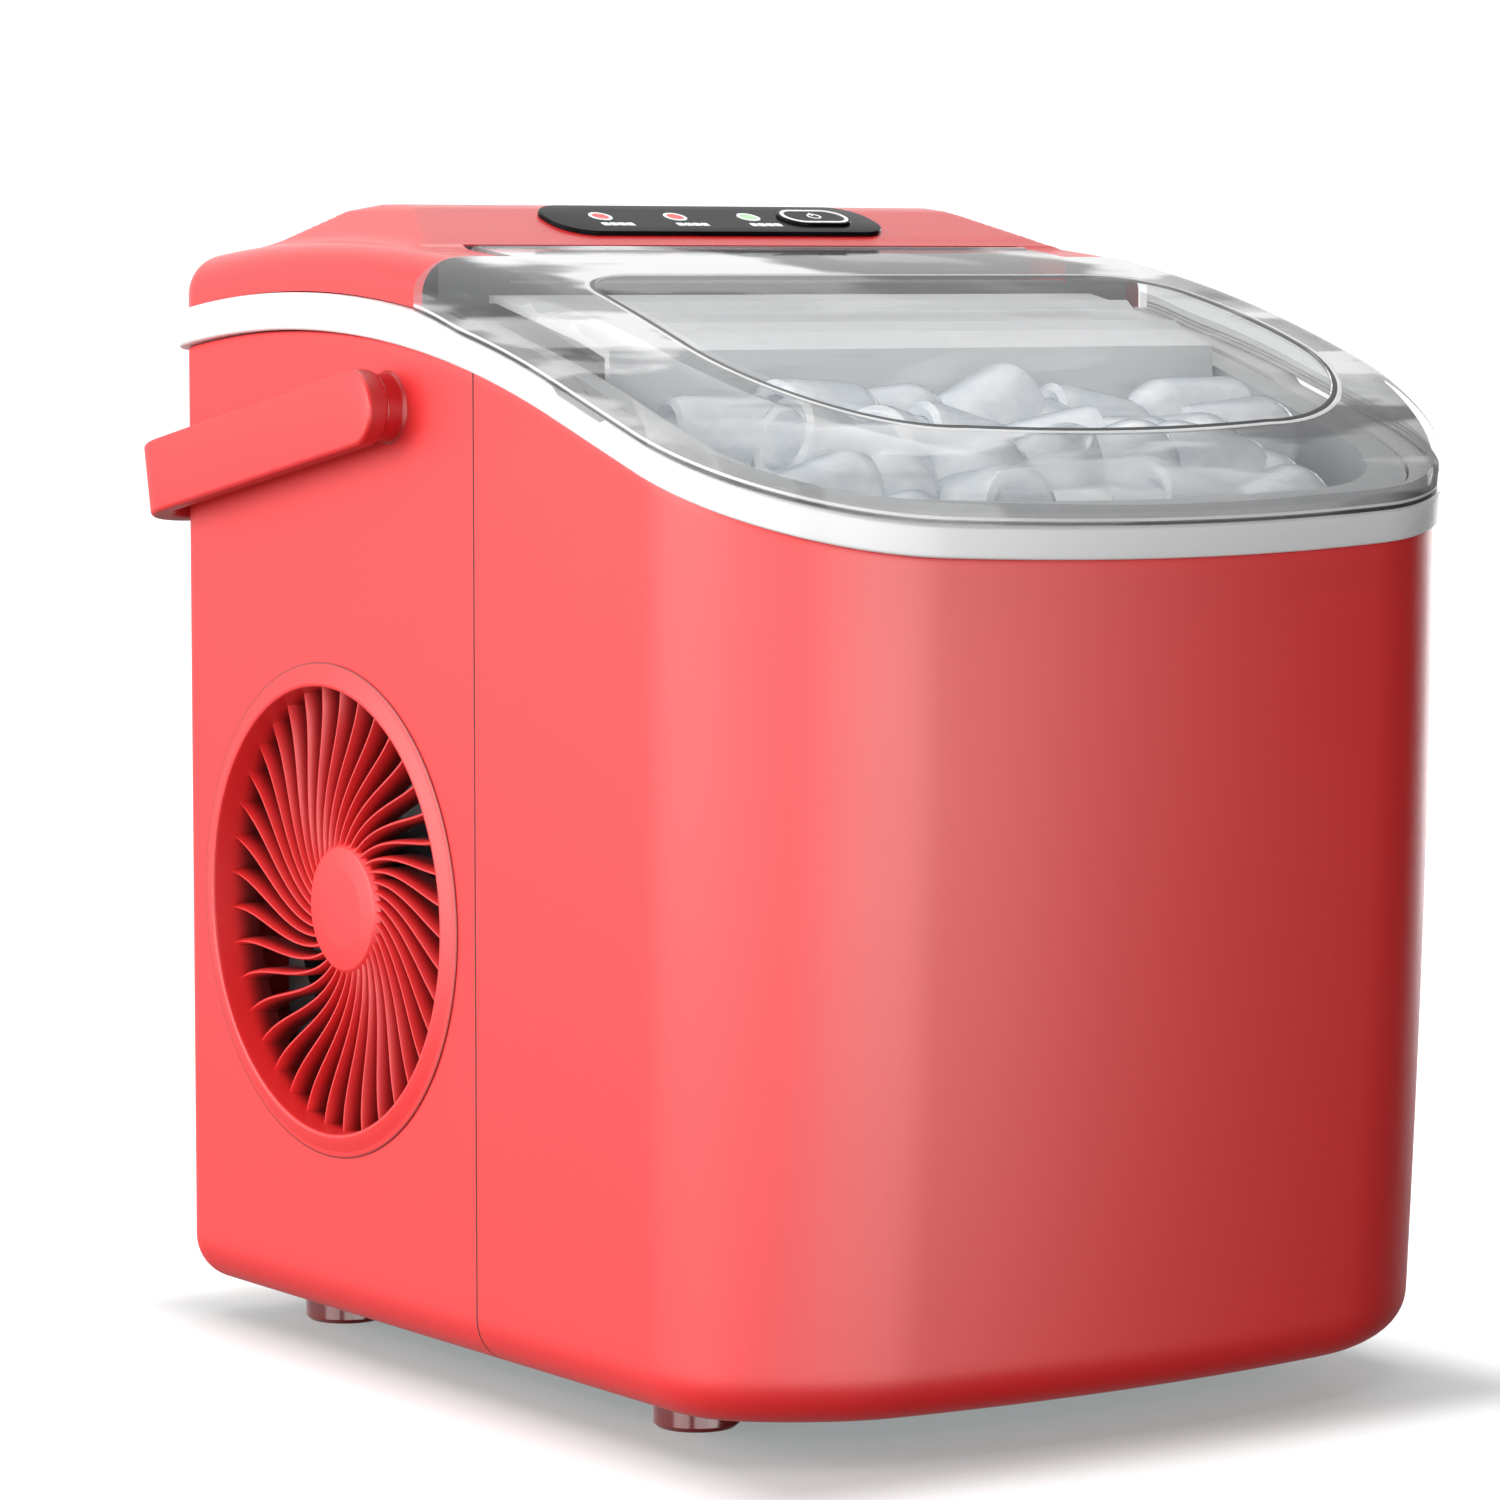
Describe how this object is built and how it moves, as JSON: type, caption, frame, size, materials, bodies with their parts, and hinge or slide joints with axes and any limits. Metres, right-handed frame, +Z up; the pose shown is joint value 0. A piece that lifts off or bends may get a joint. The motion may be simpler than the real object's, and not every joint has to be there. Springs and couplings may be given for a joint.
{
  "type": "countertop ice maker",
  "caption": "Countertop ice maker with a red casing, white band, clear hinged lid over the ice basket, sloping control panel, swirled side vents and a swing carry handle.",
  "frame": {"origin": "centre of the footprint, on the surface that the feet stand on", "axes": "+X to the right seen from the front, -Y out of the front, +Z up"},
  "size_m": [0.244, 0.2966, 0.2922],
  "materials": {
    "casing_red": "satin moulded plastic",
    "cover_red": "glossy moulded plastic",
    "handle_red": "satin moulded plastic",
    "band_white": "satin white plastic",
    "lid_clear": "clear smoke-grey moulded plastic, modelled as glass for its look",
    "window_clear": "clear plastic window",
    "panel_black": "gloss black",
    "key_black": "gloss black key with a printed ring",
    "lamp_red": "translucent lamp caps",
    "steel": "steel",
    "pan_steel": "coated steel sheet",
    "foot_rubber": "dark red rubber",
    "liner_grey": "food-safe moulded plastic",
    "basket_white": "moulded plastic",
    "foam": "rigid insulating foam",
    "nickel": "nickel-plated copper",
    "bracket_grey": "moulded plastic",
    "copper": "copper tube",
    "valve_metal": "brass body with a coil",
    "compressor_black": "black enamelled steel can",
    "fin_aluminium": "aluminium fins on tubes",
    "dark_plastic": "moulded plastic",
    "motor_white": "moulded plastic gear case",
    "hose_clear": "silicone hose",
    "probe_steel": "steel probes in a plastic holder",
    "board_green": "circuit board with parts"
  },
  "bodies": {
    "machine": {"base_pan": "pan_steel", "front_shell": "casing_red", "rear_shell": "casing_red", "trim_band": "band_white", "top_cover": "cover_red", "control_panel": "panel_black", "indicator_lights": "lamp_red", "lid_hinge_pins": "steel", "left_vent_grille": "casing_red", "right_vent_grille": "casing_red", "left_handle_pivot": "casing_red", "right_handle_pivot": "casing_red", "foot_front_left": "foot_rubber", "foot_front_right": "foot_rubber", "foot_rear_left": "foot_rubber", "foot_rear_right": "foot_rubber", "inner_liner": "liner_grey", "insulation": "foam", "evaporator": "nickel", "evaporator_bracket": "bracket_grey", "evaporator_cover": "liner_grey", "tray_motor": "motor_white", "water_pump": "dark_plastic", "water_hose": "hose_clear", "water_level_sensor": "probe_steel", "ice_full_sensors": "dark_plastic", "compressor": "compressor_black", "compressor_mounts": "foot_rubber", "condenser": "fin_aluminium", "fan_shroud": "dark_plastic", "fan_motor": "dark_plastic", "hot_gas_valve": "valve_metal", "filter_drier": "copper", "discharge_tube": "copper", "suction_tube": "copper", "capillary_tube": "copper", "control_board": "board_green", "power_board": "board_green", "cord_gland": "dark_plastic", "casing_screws": "steel", "drain_fitting": "liner_grey"},
    "lid_door": {"lid": "lid_clear", "lid_window": "window_clear"},
    "handle": {"carry_handle": "handle_red"},
    "button": {"power_button": "key_black"},
    "fan": {"fan_blade": "dark_plastic"},
    "tray": {"water_tray": "liner_grey"},
    "shovel": {"ice_shovel": "liner_grey"},
    "basket": {"ice_basket": "basket_white"},
    "plug": {"drain_plug": "casing_red"}
  },
  "joints": [
    {"name": "lid_hinge", "type": "hinge", "parent": "machine", "child": "lid_door", "pos_m": [0, 0.02642, 0.2779], "axis": [-1, 0, 0], "range_deg": [0, 85]},
    {"name": "handle_swing", "type": "hinge", "parent": "machine", "child": "handle", "pos_m": [0, 0.02622, 0.2415], "axis": [1, 0, 0], "range_deg": [0, 101]},
    {"name": "power_press", "type": "slide", "parent": "machine", "child": "button", "axis": [0, 0.309, -0.9511], "range_m": [0, 0.0005], "stiffness_N_per_m": 900},
    {"name": "fan_spin", "type": "hinge", "parent": "machine", "child": "fan", "pos_m": [-0.085, 0.05722, 0.1141], "axis": [1, 0, 0], "continuous": true},
    {"name": "tray_tilt", "type": "hinge", "parent": "machine", "child": "tray", "pos_m": [0, -0.01828, 0.176], "axis": [1, 0, 0], "range_deg": [0, 50]},
    {"name": "shovel_swing", "type": "hinge", "parent": "machine", "child": "shovel", "pos_m": [0, -0.05278, 0.178], "axis": [1, 0, 0], "range_deg": [-30, 0]},
    {"name": "basket_lift", "type": "slide", "parent": "machine", "child": "basket", "axis": [0, 0, 1], "range_m": [0, 0.006]},
    {"name": "drain_pull", "type": "slide", "parent": "machine", "child": "plug", "axis": [1, 0, 0], "range_m": [0, 0.02]}
  ],
  "couplings": [
    {"joint": "shovel_swing", "follows": "tray_tilt", "ratio": -0.6}
  ]
}
